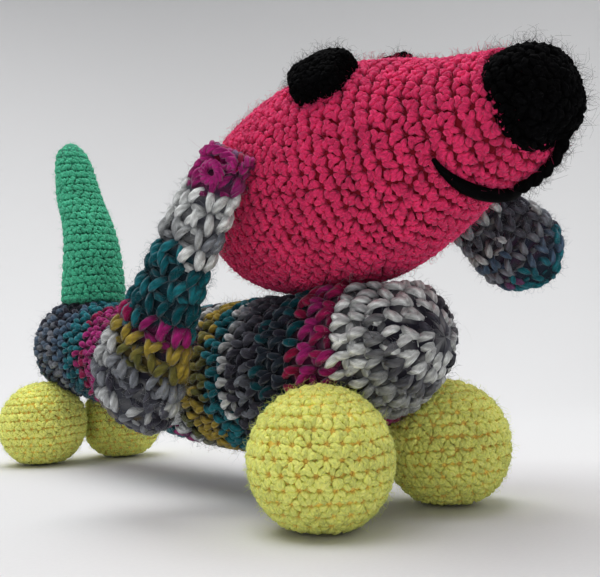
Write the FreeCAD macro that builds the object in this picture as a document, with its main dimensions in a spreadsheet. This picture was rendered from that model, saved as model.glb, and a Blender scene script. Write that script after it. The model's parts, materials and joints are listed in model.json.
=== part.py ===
import FreeCAD, Part
import os
import Sketcher
from FreeCAD import Placement, Rotation, Vector

# A crocheted toy dachshund: a stuffed striped tube of a body on four stuffed ball feet, with a
# stuffed head, two flat hanging ears and an upright tail, each crocheted apart and sewn on.
# Millimetres. +Z is up, the dog faces -Y, and its own left is +X. The origin is on the floor,
# under the middle of the bounding box.

document = FreeCAD.newDocument("crochet_dachshund")

# ---------------------------------------------------------------- driving sizes

SIZES = {
    "mid_plane": -22.9,        # X of the dog's mid plane
    "front_feet": -82.4,       # Y of the line between the front feet
    "foot_radius": 20.0,
    "sole_drop": 19.0,         # height of a foot's centre over its pressed-flat sole
    "wheel_base": 205.0,       # front feet to rear feet
    "front_track": 55.0,
    "rear_track": 42.0,
    "torso_length": 249.0,
    "torso_radius": 27.4,
    "torso_wall": 4.5,         # thick, chunky yarn
    "fine_wall": 3.4,          # thinner yarn of the head, tail and feet
    "head_length": 130.0,
    "head_radius": 34.8,
    "tail_height": 88.0,
    "tail_radius": 15.8,
    "ear_length": 90.0,
    "ear_half_width": 17.6,
    "ear_half_thickness": 6.8,
    "ear_wall": 3.6,
    "eye_radius": 9.6,
    "eye_height": 6.5,
    "nose_half_width": 14.0,
    "nose_thickness": 15.0,
    "yarn_radius": 1.5,        # black mouth yarn and sewing yarn
    "knot_radius": 2.6,        # knot of sewing yarn that the head or the tail turns on
    "seam_gap": 0.35,          # free space between pieces that move on each other
}

HEAD_PITCH = 5.4               # degrees that the snout points up
HEAD_ROLL = 14.0               # degrees that the crown leans to the dog's right
HEAD_BACK = (-2.6, 66.7, 98.0)     # back of the head, from the front feet on the mid plane
NECK = (-2.6, 14.0, 70.6)      # knot between the body and the head
TAIL_ROOT = (0.0, 196.0, 81.2)     # knot between the body and the tail
NOD_RANGE = (-2.0, 10.0)
TURN_RANGE = (-8.0, 8.0)
WAG_RANGE = (-12.0, 12.0)
LIFT_RANGE = (-12.0, 12.0)

sheet = document.addObject("Spreadsheet::Sheet", "Sizes")
for row, (alias, value) in enumerate(SIZES.items(), start=1):
    sheet.set("A%d" % row, alias.replace("_", " "))
    sheet.set("B%d" % row, str(value))
    sheet.setAlias("B%d" % row, alias)
document.recompute()


def size(alias):
    return float(getattr(sheet, alias))


# ---------------------------------------------------------------- helpers

nodes = {}


def add(kind, name, **links):
    made = document.addObject(kind, name)
    for prop, value in links.items():
        setattr(made, prop, value)
    return made


def bind(made, **expressions):
    for prop, expression in expressions.items():
        made.setExpression(prop.replace("__", "."), expression)
    return made


def keep(made, label):
    """Hand this object in as the sub-part with this label."""
    made.Label = label
    nodes[label] = made
    return made


def cut(name, base, tool):
    return add("Part::Cut", name, Base=base, Tool=tool)


def fuse(name, shapes):
    return add("Part::MultiFuse", name, Shapes=shapes)


def loft(name, length, across, profile, deep=None, offset=0.0, span=(0, None)):
    """A closed form through elliptical rings that stand across the local Z axis.

    profile rows are height / length, half width / across, half depth / deep, shift x, shift y,
    and offset grows or shrinks each ring in its own plane.
    """
    rings = []
    rows = profile[span[0]:span[1]]
    for number, (height, wide, thick, shift_x, shift_y) in enumerate(rows):
        ring = add("Part::Ellipse", "%s_ring%d" % (name, number))
        bind(
            ring,
            MajorRadius="Sizes.%s * %g + %g" % (across, wide, offset + 0.001),
            MinorRadius="Sizes.%s * %g + %g" % (deep or across, thick, offset),
            Placement__Base__x="%g" % shift_x,
            Placement__Base__y="%g" % shift_y,
            Placement__Base__z="Sizes.%s * %g" % (length, height),
        )
        rings.append(ring)
    document.recompute()
    return add("Part::Loft", name, Sections=rings, Solid=True, Ruled=False)


def copy_of(name, source, placement):
    """The same form set somewhere else, as a simple copy of its shape."""
    made = add("Part::Feature", name)
    document.recompute()
    made.Shape = source.Shape.copy()
    made.Placement = placement.multiply(source.Placement)
    return made


def at(spot, rotation=Rotation()):
    """A placement at a spot given from the front feet on the mid plane."""
    x, y, z = spot
    return Placement(Vector(size("mid_plane") + x, size("front_feet") + y, z), rotation)


def turned_about(spot, axis, degrees):
    centre = at(spot).Base
    return Placement(Vector(), Rotation(Vector(*axis), degrees), centre)


def ball(name, radius, placement):
    made = bind(add("Part::Sphere", name), Radius=radius)
    made.Placement = placement
    return made


def plane_of(body, role):
    return next(item for item in body.Origin.OriginFeatures if item.Role == role)


def sketch_in(body, name, role="XZ_Plane"):
    sketch = body.newObject("Sketcher::SketchObject", name)
    sketch.AttachmentSupport = [(plane_of(body, role), "")]
    sketch.MapMode = "FlatFace"
    return sketch


def spun(name, radius, cut_height):
    """A ball about local Z whose lower end is cut flat at -cut_height."""
    body = add("PartDesign::Body", name)
    sketch = sketch_in(body, name + "_profile")
    reach = size("foot_radius")
    low = -0.9 * reach
    side = (reach ** 2 - low ** 2) ** 0.5
    curve = Part.Circle(Vector(), Vector(0, 0, 1), reach)
    sketch.addGeometry(Part.ArcOfCircle(curve, -1.12, 1.5708), False)
    sketch.addGeometry(Part.LineSegment(Vector(0, reach, 0), Vector(0, low, 0)), False)
    sketch.addGeometry(Part.LineSegment(Vector(0, low, 0), Vector(side, low, 0)), False)
    sketch.addConstraint(Sketcher.Constraint("Coincident", 0, 3, -1, 1))
    sketch.addConstraint(Sketcher.Constraint("Coincident", 0, 2, 1, 1))
    sketch.addConstraint(Sketcher.Constraint("Coincident", 1, 2, 2, 1))
    sketch.addConstraint(Sketcher.Constraint("Coincident", 2, 2, 0, 1))
    sketch.addConstraint(Sketcher.Constraint("PointOnObject", 1, 1, -2))
    sketch.addConstraint(Sketcher.Constraint("PointOnObject", 1, 2, -2))
    sketch.addConstraint(Sketcher.Constraint("Horizontal", 2))
    ring = sketch.addConstraint(Sketcher.Constraint("Radius", 0, reach))
    flat = sketch.addConstraint(Sketcher.Constraint("DistanceY", 1, 2, -1, 1, -low))
    sketch.setExpression("Constraints[%d]" % ring, radius)
    sketch.setExpression("Constraints[%d]" % flat, cut_height)
    spin = body.newObject("PartDesign::Revolution", name + "_spin")
    spin.Profile = sketch
    spin.ReferenceAxis = (sketch, ["V_Axis"])
    spin.Angle = 360
    return body


# ---------------------------------------------------------------- profiles

# Torso, from the rump's closing round to the chest's first round. The tube sags between the
# feet, so its centre line is highest over the rear feet and over the front feet.
TORSO = (
    (0.000, 0.20, 0.20, 0, 57.0), (0.008, 0.42, 0.42, 0, 57.0), (0.028, 0.66, 0.66, 0, 57.0),
    (0.060, 0.84, 0.84, 0, 56.9), (0.100, 0.90, 0.90, 0, 56.6), (0.180, 0.880, 0.880, 0, 54.0),
    (0.275, 0.865, 0.865, 0, 50.2), (0.420, 0.910, 0.910, 0, 45.2), (0.500, 0.950, 0.950, 0, 43.1),
    (0.605, 0.995, 0.995, 0, 41.8), (0.695, 1.000, 1.000, 0, 42.0), (0.785, 0.985, 0.985, 0, 43.5),
    (0.855, 0.955, 0.955, 0, 46.6), (0.890, 0.905, 0.905, 0, 48.8), (0.920, 0.830, 0.830, 0, 50.4),
    (0.955, 0.700, 0.700, 0, 51.3), (0.983, 0.500, 0.500, 0, 51.7), (1.000, 0.250, 0.250, 0, 51.8),
)
# The hollow under the head is kept lower than the tube, because the head presses it down.
TORSO_HOLLOW = tuple(
    (height * 0.96 + 0.02, wide, thick, x, y - (5.0 if height > 0.7 else 0.0))
    for height, wide, thick, x, y in TORSO[2:-2]
)
# Head, from the back of the skull to the tip of the snout.
HEAD = (
    (0.000, 0.20), (0.012, 0.36), (0.040, 0.57), (0.090, 0.755), (0.160, 0.875), (0.280, 0.970),
    (0.400, 1.000), (0.530, 0.950), (0.660, 0.800), (0.780, 0.610), (0.870, 0.515),
    (0.930, 0.450), (0.972, 0.325), (1.000, 0.120),
)
HEAD = tuple((height, wide, wide, 0, 0) for height, wide in HEAD)
# Tail, from its sewn end up; it leans back towards its tip.
TAIL = (
    (0.00, 1.00, 1.00, 0, 0.0), (0.10, 0.99, 0.99, 0, 0.2), (0.22, 0.94, 0.94, 0, 1.3),
    (0.34, 0.88, 0.88, 0, 3.2), (0.48, 0.82, 0.82, 0, 8.5), (0.62, 0.77, 0.77, 0, 16.5),
    (0.76, 0.69, 0.69, 0, 22.0), (0.88, 0.60, 0.60, 0, 26.2), (0.95, 0.46, 0.46, 0, 28.2),
    (1.00, 0.20, 0.20, 0, 29.0),
)


def ear_profile(bow):
    """Ear, from its sewn edge down to its rounded end, bowed outwards by bow mm."""
    rows = (
        (0.025, 0.40, 0.45), (0.08, 0.46, 0.62), (0.20, 0.52, 0.78), (0.35, 0.57, 0.84),
        (0.50, 0.68, 0.88), (0.65, 0.86, 0.95), (0.80, 1.00, 1.00), (0.90, 0.90, 0.95),
        (0.965, 0.64, 0.80), (1.00, 0.28, 0.45),
    )
    return tuple(
        (height, wide, thick, 0, size("ear_half_thickness") * thick - 1.0 + 4 * bow * height * (1 - height))
        for height, wide, thick in rows
    )


# ---------------------------------------------------------------- forms that are shared

TORSO_TURN = Rotation(Vector(1, 0, 0), 90)
HEAD_TURN = Rotation(Vector(1, 0, 0), 90 - HEAD_PITCH).multiply(Rotation(Vector(0, 0, 1), HEAD_ROLL))
torso_at = at((0, 228.5, 0), TORSO_TURN)
head_at = at(HEAD_BACK, HEAD_TURN)


def torso_form(name, offset, profile=TORSO):
    made = loft(name, "torso_length", "torso_radius", profile, offset=offset)
    made.Placement = torso_at
    return made


def head_form(name, offset, span=(0, None)):
    made = loft(name, "head_length", "head_radius", HEAD, offset=offset, span=span)
    made.Placement = head_at
    return made


torso_outer = torso_form("torso_outer", 0.0)
head_outer = head_form("head_outer", 0.0)
head_room = head_form("head_room", 0.7)
document.recompute()

# ---------------------------------------------------------------- body


def head_sweep():
    """The room that the head needs over its nod and its turn."""
    poses = [(0.0, 0.0)]
    for nod in NOD_RANGE:
        for turn in TURN_RANGE:
            poses.append((nod, turn))
    copies = []
    for number, (nod, turn) in enumerate(poses):
        nodded = turned_about(NECK, (1, 0, 0), nod)
        swung = turned_about(NECK, (0, 0, 1), turn)
        copies.append(copy_of("head_room%d" % number, head_room, swung.multiply(nodded)))
    return copies


def make_body():
    hollow = torso_form("torso_hollow", -size("torso_wall"), TORSO_HOLLOW)
    knot_room = size("knot_radius") + size("seam_gap")
    rooms = head_sweep()
    rooms.append(ball("neck_socket_low", "%g" % knot_room, at(NECK)))
    rooms.append(ball("tail_socket_low", "%g" % knot_room, at(TAIL_ROOT)))
    pressed = cut("torso_pressed", torso_outer, fuse("head_and_knots", rooms))
    keep(cut("body_shell", pressed, hollow), "body_shell")
    keep(torso_form("body_stuffing", -size("torso_wall") - 0.3, TORSO_HOLLOW), "body_stuffing")


# ---------------------------------------------------------------- head


def make_head():
    hollow = head_form("head_hollow", -size("fine_wall"), span=(1, -1))
    socket = ball("neck_socket_high", "Sizes.knot_radius + Sizes.seam_gap", at(NECK))
    keep(cut("head_shell", cut("head_with_hollow", head_outer, hollow), socket), "head_shell")
    filling = head_form("head_filling", -size("fine_wall") - 0.3, span=(1, -1))
    bite = ball("neck_bite", "Sizes.knot_radius + Sizes.seam_gap", at(NECK))
    keep(cut("head_stuffing", filling, bite), "head_stuffing")
    keep(ball("neck_knot", "Sizes.knot_radius", at(NECK)), "neck_knot")


def on_head(along, radius, degrees, tilt=0.0):
    """A placement whose Z points straight out of the head.

    along is measured from the back of the head and degrees from its right side, upwards.
    """
    spin = Rotation(Vector(0, 0, 1), 180.0 - degrees)
    out = Rotation(Vector(0, 1, 0), 90.0 - tilt)
    local = Placement(Vector(0, 0, along), spin).multiply(Placement(Vector(radius, 0, 0), out))
    return head_at.multiply(local)


def padded_disc(label, radius, thickness, rounding):
    """A round pad on local XY with a rounded top edge."""
    body = add("PartDesign::Body", label)
    sketch = sketch_in(body, label + "_outline", "XY_Plane")
    sketch.addGeometry(Part.Circle(Vector(), Vector(0, 0, 1), size("eye_radius")), False)
    sketch.addConstraint(Sketcher.Constraint("Coincident", 0, 3, -1, 1))
    ring = sketch.addConstraint(Sketcher.Constraint("Radius", 0, size("eye_radius")))
    sketch.setExpression("Constraints[%d]" % ring, radius)
    pad = body.newObject("PartDesign::Pad", label + "_pad")
    pad.Profile = sketch
    pad.setExpression("Length", thickness)
    document.recompute()
    rounded = body.newObject("PartDesign::Fillet", label + "_round")
    top = max(range(len(pad.Shape.Edges)), key=lambda index: pad.Shape.Edges[index].BoundBox.ZMin)
    rounded.Base = (pad, ["Edge%d" % (top + 1)])
    rounded.setExpression("Radius", rounding)
    body.Tip = rounded
    return body


def make_eyes():
    for label, degrees in (("right_eye", 56.0), ("left_eye", 124.0)):
        eye = padded_disc(label, "Sizes.eye_radius", "Sizes.eye_height", "Sizes.eye_height * 0.65")
        eye.Placement = on_head(71.6, 30.9, degrees, tilt=15.0)
        keep(eye, label)


def make_nose():
    """A rounded triangle, wide side up, pressed onto the end of the snout."""
    body = add("PartDesign::Body", "nose_pad")
    sketch = sketch_in(body, "nose_outline", "XY_Plane")
    half = size("nose_half_width")
    corners = [(-half + 5.5, 6.5, 5.5), (0.0, -half + 5.0, 5.0), (half - 5.5, 6.5, 5.5)]
    edges = []
    for index, (x, y, radius) in enumerate(corners):
        next_x, next_y, next_radius = corners[(index + 1) % 3]
        run = Vector(next_x - x, next_y - y, 0)
        away = Vector(run.y, -run.x, 0).normalize()
        edges.append((Vector(x, y, 0) + away * radius, Vector(next_x, next_y, 0) + away * next_radius))
    for index, (start, end) in enumerate(edges):
        x, y, radius = corners[(index + 1) % 3]
        following = edges[(index + 1) % 3][0]
        outward = (end + following) * 0.5 - Vector(x, y, 0)
        middle = Vector(x, y, 0) + outward.normalize() * radius
        sketch.addGeometry(Part.LineSegment(start, end), False)
        sketch.addGeometry(Part.Arc(end, middle, following), False)
    pad = body.newObject("PartDesign::Pad", "nose_pad_up")
    pad.Profile = sketch
    pad.setExpression("Length", "Sizes.nose_thickness")
    document.recompute()
    rounded = body.newObject("PartDesign::Fillet", "nose_round")
    top = [
        "Edge%d" % (index + 1)
        for index, edge in enumerate(pad.Shape.Edges)
        if edge.BoundBox.ZMin > size("nose_thickness") - 0.01
    ]
    rounded.Base = (pad, top)
    rounded.Radius = 4.6
    body.Tip = rounded
    place = head_at.multiply(Placement(Vector(0, 1.4, 117.5), Rotation(Vector(1, 0, 0), -9)))
    body.Placement = place
    keep(cut("nose", body, head_outer), "nose")


def yarn(label, start, middle, end, placement):
    """A round yarn along an arc in the local XY plane."""
    body = add("PartDesign::Body", label)
    path = sketch_in(body, label + "_path", "XY_Plane")
    arc = Part.Arc(Vector(*start, 0), Vector(*middle, 0), Vector(*end, 0))
    path.addGeometry(arc, False)
    section = body.newObject("Sketcher::SketchObject", label + "_section")
    section.AttachmentSupport = [(path, "Edge1")]
    section.MapMode = "NormalToEdge"
    section.MapPathParameter = 0.0
    section.addGeometry(Part.Circle(Vector(), Vector(0, 0, 1), size("yarn_radius")), False)
    section.addConstraint(Sketcher.Constraint("Coincident", 0, 3, -1, 1))
    ring = section.addConstraint(Sketcher.Constraint("Radius", 0, size("yarn_radius")))
    section.setExpression("Constraints[%d]" % ring, "Sizes.yarn_radius")
    document.recompute()
    pipe = body.newObject("PartDesign::AdditivePipe", label + "_pipe")
    pipe.Profile = section
    pipe.Spine = path
    pipe.Mode = "Frenet"
    body.Placement = placement
    return keep(body, label)


def make_mouth():
    """The smile goes round under the snout, and one stitch joins it to the nose."""
    from math import cos, radians, sin

    round_snout = 20.6
    lower = [(round_snout * cos(radians(a)), round_snout * sin(radians(a))) for a in (-159, -90, -21)]
    level = head_at.multiply(Placement(Vector(0, 0, 106.0), Rotation(Vector(1, 0, 0), 6)))
    yarn("smile_yarn", *lower, level)
    front = [(112.0 + 19.2 * cos(radians(a)), 19.2 * sin(radians(a))) for a in (-86, -63, -40)]
    sagittal = Rotation(Vector(0, 0, 1), Vector(0, 1, 0), Vector(-1, 0, 0), "ZYX")
    yarn("philtrum_yarn", *front, head_at.multiply(Placement(Vector(), sagittal)))


# ---------------------------------------------------------------- ears

EARS = {
    # sewn edge, end of the ear, way that the broad outer face looks, outward bow
    "right_ear": ((-39.6, 22.4, 106.5), (-49.5, 66.3, 23.7), (-0.91, -0.35, 0.0), 2.0),
    "left_ear": ((29.2, 22.4, 123.8), (96.0, 5.8, 83.0), (0.45, 0.70, 0.55), 5.0),
}


def ear_placement(root, tip, face):
    """Local Z runs down the ear, local Y out of its outer face and local X along its sewn edge."""
    down = (at(tip).Base - at(root).Base).normalize()
    return Placement(at(root).Base, Rotation(Vector(), Vector(*face), down, "ZYX"))


def make_ears():
    for label, (root, tip, face, bow) in EARS.items():
        placement = ear_placement(root, tip, face)
        profile = ear_profile(bow)
        outer = loft(label + "_outer", "ear_length", "ear_half_width", profile, deep="ear_half_thickness")
        hollow = loft(label + "_hollow", "ear_length", "ear_half_width", profile, "ear_half_thickness",
                      -size("ear_wall"), (2, -1))
        ear = keep(cut(label, outer, hollow), label)
        filling = loft(label + "_stuffing", "ear_length", "ear_half_width", profile, "ear_half_thickness",
                       -size("ear_wall") - 0.25, (2, -1))
        keep(filling, label + "_stuffing")
        ear.Placement = placement
        filling.Placement = placement


def make_ear_seams():
    """A bar of sewing yarn along each sewn edge, which the ear flaps on."""
    length = 10.0
    for label, (root, tip, face, _) in EARS.items():
        seam = bind(add("Part::Cylinder", label + "_seam_bar"), Radius="Sizes.yarn_radius * 1.3")
        seam.Height = length
        along = Placement(Vector(-length / 2, 0, 0), Rotation(Vector(0, 1, 0), 90))
        place = ear_placement(root, tip, face)
        seam.Placement = place.multiply(along)
        keep(seam, label + "_seam")
        print(label, "hinge at", place.Base, "along", place.Rotation.multVec(Vector(-1, 0, 0)))


# ---------------------------------------------------------------- tail


def tail_form(name, offset, span=(0, None)):
    made = loft(name, "tail_height", "tail_radius", TAIL, offset=offset, span=span)
    made.Placement = at((0, TAIL_ROOT[1], 78.6))
    return made


def rump_sweep():
    """The rump as the tail meets it over its wag and its lift."""
    poses = [(0.0, 0.0)]
    for wag in WAG_RANGE:
        for lift in LIFT_RANGE:
            poses.append((wag, lift))
    tools = []
    for number, (wag, lift) in enumerate(poses):
        rump = add("Part::Cylinder", "rump_room%d" % number, Radius=25.6, Height=90)
        rest = at((0, TAIL_ROOT[1] + 45, 56.0), TORSO_TURN)
        lifted = turned_about(TAIL_ROOT, (1, 0, 0), -lift)
        wagged = turned_about(TAIL_ROOT, (0, 1, 0), -wag)
        rump.Placement = lifted.multiply(wagged).multiply(rest)
        tools.append(rump)
    return tools


def make_tail():
    tools = rump_sweep()
    tools.append(ball("tail_socket_high", "Sizes.knot_radius + Sizes.seam_gap", at(TAIL_ROOT)))
    seated = cut("tail_seated", tail_form("tail_outer", 0.0), fuse("rump_and_knot", tools))
    hollow = tail_form("tail_hollow", -size("fine_wall"), (1, -1))
    keep(cut("tail_shell", seated, hollow), "tail_shell")
    keep(tail_form("tail_stuffing", -size("fine_wall") - 0.3, (1, -1)), "tail_stuffing")
    keep(ball("tail_knot", "Sizes.knot_radius", at(TAIL_ROOT)), "tail_knot")


# ---------------------------------------------------------------- feet


def foot_spots():
    drop = size("sole_drop")
    for end, track, y in (("front", "front_track", 0.0), ("rear", "rear_track", size("wheel_base"))):
        for side, sign in (("right", -0.5), ("left", 0.5)):
            yield "%s_%s_foot" % (end, side), (sign * size(track), y, drop)


def make_feet():
    wider = torso_form("torso_wider", size("fine_wall"))
    widest = torso_form("torso_widest", size("fine_wall") + 0.3)
    for label, spot in foot_spots():
        outer = spun(label + "_ball", "Sizes.foot_radius", "Sizes.sole_drop")
        outer.Placement = at(spot)
        inner = spun(label + "_inner", "Sizes.foot_radius - Sizes.fine_wall", "Sizes.sole_drop - Sizes.fine_wall")
        inner.Placement = at(spot)
        hollow = cut(label + "_hollow", inner, wider)
        seated = cut(label + "_seated", outer, torso_outer)
        keep(cut(label + "_shell", seated, hollow), label + "_shell")
        core = spun(label + "_core", "Sizes.foot_radius - Sizes.fine_wall - 0.3",
                    "Sizes.sole_drop - Sizes.fine_wall - 0.3")
        core.Placement = at(spot)
        keep(cut(label + "_filling", core, widest), label + "_stuffing")
        make_foot_seam(label, spot, outer)


def make_foot_seam(label, spot, outer):
    """Sewing yarn round the patch where the foot is pressed onto the body."""
    centre = at(spot).Base
    document.recompute()
    pressed = outer.Shape.common(torso_outer.Shape)
    toward = pressed.Solids[0].CenterOfMass - centre
    patch = toward.Length
    reach = (size("foot_radius") ** 2 - patch ** 2) ** 0.5
    ring = add("Part::Torus", label + "_seam_ring")
    ring.Radius1 = reach + 0.6
    bind(ring, Radius2="Sizes.yarn_radius * 0.8")
    ring.Placement = Placement(centre + toward, Rotation(Vector(0, 0, 1), toward))
    keep(ring, label + "_seam")


# ---------------------------------------------------------------- build, test and write

make_body()
make_head()
make_eyes()
make_nose()
make_mouth()
make_ears()
make_ear_seams()
make_tail()
make_feet()
document.recompute()

for item in document.Objects:
    if {"Invalid", "Error"} & set(item.State):
        raise RuntimeError("%s did not build: %s" % (item.Name, item.State))

os.makedirs("parts", exist_ok=True)
for old in os.listdir("parts"):
    os.remove(os.path.join("parts", old))
for label, item in nodes.items():
    shape = item.Shape
    if shape.isNull() or not shape.isValid() or not shape.Solids:
        raise RuntimeError("%s has no sound solid" % label)
    shape.exportStep(os.path.join("parts", label + ".step"))
    print("%-26s %8.1f mm3, %d solid" % (label, shape.Volume, len(shape.Solids)))
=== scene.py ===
"""A crocheted sausage dog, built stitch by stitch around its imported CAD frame."""
import json
import math

import bpy
import numpy as np
from mathutils import Matrix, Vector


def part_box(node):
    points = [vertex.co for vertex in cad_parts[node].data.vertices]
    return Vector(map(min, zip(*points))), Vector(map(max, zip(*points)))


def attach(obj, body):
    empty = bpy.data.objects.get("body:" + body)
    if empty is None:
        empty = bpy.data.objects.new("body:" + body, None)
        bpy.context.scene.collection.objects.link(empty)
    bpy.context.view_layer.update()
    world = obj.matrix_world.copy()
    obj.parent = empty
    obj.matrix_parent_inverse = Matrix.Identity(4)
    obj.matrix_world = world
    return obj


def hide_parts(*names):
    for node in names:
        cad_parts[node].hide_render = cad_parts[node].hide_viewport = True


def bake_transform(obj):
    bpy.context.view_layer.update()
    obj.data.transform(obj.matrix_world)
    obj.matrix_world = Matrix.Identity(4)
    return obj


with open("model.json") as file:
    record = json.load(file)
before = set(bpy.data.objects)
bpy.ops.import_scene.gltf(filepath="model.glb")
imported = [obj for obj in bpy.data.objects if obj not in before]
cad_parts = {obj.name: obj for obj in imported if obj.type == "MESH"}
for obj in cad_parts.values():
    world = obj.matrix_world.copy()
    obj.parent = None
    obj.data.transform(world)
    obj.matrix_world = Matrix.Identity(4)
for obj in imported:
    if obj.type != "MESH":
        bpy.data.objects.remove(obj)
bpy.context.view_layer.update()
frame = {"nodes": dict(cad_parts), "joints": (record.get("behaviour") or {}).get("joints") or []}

MM = 0.001
rng = np.random.default_rng(20)
MID, FRONT = -22.9, -82.4       # the body's mid-plane in X and the front feet's centre in Y, mm
CHUNKY = (6.8, 5.6)             # stitch width and row height of the body and ears, mm
FLOOR_GAP = 0.05                # the least height of a foot's yarn over the floor, mm
POLE_GAP = 0.02                 # how near to a form's poles a point may lie, mm of arc


# ---------------------------------------------------------------- colour

def rgb(red, green, blue):
    """A colour given as 0-255 display values, as linear light."""
    c = np.array([red, green, blue]) / 255.0
    return np.where(c <= 0.04045, c / 12.92, ((c + 0.055) / 1.055) ** 2.4)


WHITE, SILVER, GREY = rgb(236, 238, 236), rgb(192, 194, 194), rgb(130, 134, 142)
CHARCOAL, INK = rgb(62, 60, 70), rgb(40, 38, 50)
TEAL, DEEP_TEAL, SLATE = rgb(30, 118, 128), rgb(8, 76, 84), rgb(74, 98, 122)
MAGENTA, CRIMSON, MAUVE = rgb(170, 36, 116), rgb(150, 20, 66), rgb(120, 78, 118)
OCHRE, OLIVE = rgb(178, 154, 62), rgb(98, 100, 52)
# the second colour on each of these four lines is painted shade for the holes and crevices between stitches;
# the lime's is a painted orange glow there
PINK, PINK_PAINTED_SHADE = rgb(244, 54, 112), rgb(104, 0, 14)
LIME, LIME_PAINTED_GLOW = rgb(242, 255, 140), rgb(250, 152, 44)
JADE, JADE_PAINTED_SHADE = rgb(78, 192, 150), rgb(16, 96, 74)
BLACK, BLACK_PAINTED_SHADE = rgb(7, 7, 8), rgb(3, 3, 4)


# ---------------------------------------------------------------- forms

def smooth(table, count=500):
    """Rows of given numbers as a smooth dense table, first column evenly spaced."""
    table = np.array(table, float)
    x, rows = table[:, 0], table[:, 1:]
    slope = np.gradient(rows, x, axis=0)
    steps = np.diff(rows, axis=0) / np.diff(x)[:, None]
    limit = 3 * np.minimum(np.abs(np.vstack([steps[:1], steps])), np.abs(np.vstack([steps, steps[-1:]])))
    slope = np.clip(slope, -limit, limit)
    t = np.linspace(x[0], x[-1], count)
    k = np.clip(np.searchsorted(x, t, side="right") - 1, 0, len(x) - 2)
    width = (x[k + 1] - x[k])[:, None]
    w = ((t - x[k])[:, None]) / width
    out = ((2 * w**3 - 3 * w**2 + 1) * rows[k] + (w**3 - 2 * w**2 + w) * width * slope[k]
           + (-2 * w**3 + 3 * w**2) * rows[k + 1] + (w**3 - w**2) * width * slope[k + 1])
    return np.column_stack([t, out])


def round_rings(rows, height, radius, shift=0.0):
    """Rings of a round form, from rows of height and width as shares of its height and radius."""
    zero, wide = 0 * rows[:, 0], rows[:, 1] * radius
    return np.column_stack([rows[:, 0] * height, wide, wide, zero, zero + shift])


class Form:
    """A closed tube of elliptical rings, whose surface is read by arc length from one pole and by turn.

    Columns of rings: height, half width, half depth, centre x, centre y. lobes gives the swell at an angle.
    """

    def __init__(self, rings, place, lobes=None):
        self.lobes = lobes or (lambda angle: 1.0)
        rings = np.array(rings, float)
        start, end = rings[0].copy(), rings[-1].copy()
        start[1:3], end[1:3] = 0.0, 0.0
        cap_height = 0.35               # of the end ring's radius
        start[0] -= cap_height * rings[0, 1]
        end[0] += cap_height * rings[-1, 1]
        rings = np.vstack([start, rings, end])
        self.rings, self.place = rings, place
        mean_radius = (rings[:, 1] + rings[:, 2]) / 2
        sway = 0.7                      # share of the centre line's sideways step that lengthens the arc
        step = np.hypot(np.diff(rings[:, 0]), np.diff(mean_radius))
        step = np.hypot(step, np.hypot(*np.diff(rings[:, 3:5], axis=0).T) * sway)
        self.arc = np.concatenate([[0], np.cumsum(step)])
        self.length = self.arc[-1]

    def ring(self, s):
        """The five columns of the ring at arc s."""
        return [np.interp(s, self.arc, self.rings[:, k]) for k in range(5)]

    def local(self, s, turn):
        """Points on the surface in the form's own frame."""
        height, wide, deep, cx, cy = self.ring(s)
        angle = 2 * np.pi * turn
        swell = self.lobes(angle)
        return np.stack([cx + wide * swell * np.cos(angle), cy + deep * swell * np.sin(angle), height], -1)

    def point(self, s, turn, lift):
        """World points at arc s and turn, lift millimetres out along the surface's normal."""
        s = np.clip(s, POLE_GAP, self.length - POLE_GAP)
        here = self.local(s, turn)
        reach, twist = 0.6, 0.004       # how far on either side the slopes are taken, mm and turns
        before, after = np.clip(s - reach, 0, self.length), np.clip(s + reach, 0, self.length)
        ds = self.local(after, turn) - self.local(before, turn)
        angle = 2 * np.pi * turn
        du = self.local(s, turn + twist) - self.local(s, turn - twist)
        du = du + 0.002 * np.stack([-np.sin(angle), np.cos(angle), 0 * s], -1)
        normal = np.cross(du, ds)
        normal /= np.maximum(np.linalg.norm(normal, axis=-1, keepdims=True), 1e-9)
        out = here + normal * np.asarray(lift)[..., None]
        return out @ self.place[:3, :3].T + self.place[:3, 3], normal @ self.place[:3, :3].T

    def girth(self, s):
        """The length round the ring at arc s."""
        wide, deep = self.ring(s)[1:3]
        return np.pi * (3 * (wide + deep) - np.sqrt((3 * wide + deep) * (wide + 3 * deep)))


# ---------------------------------------------------------------- meshes

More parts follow.
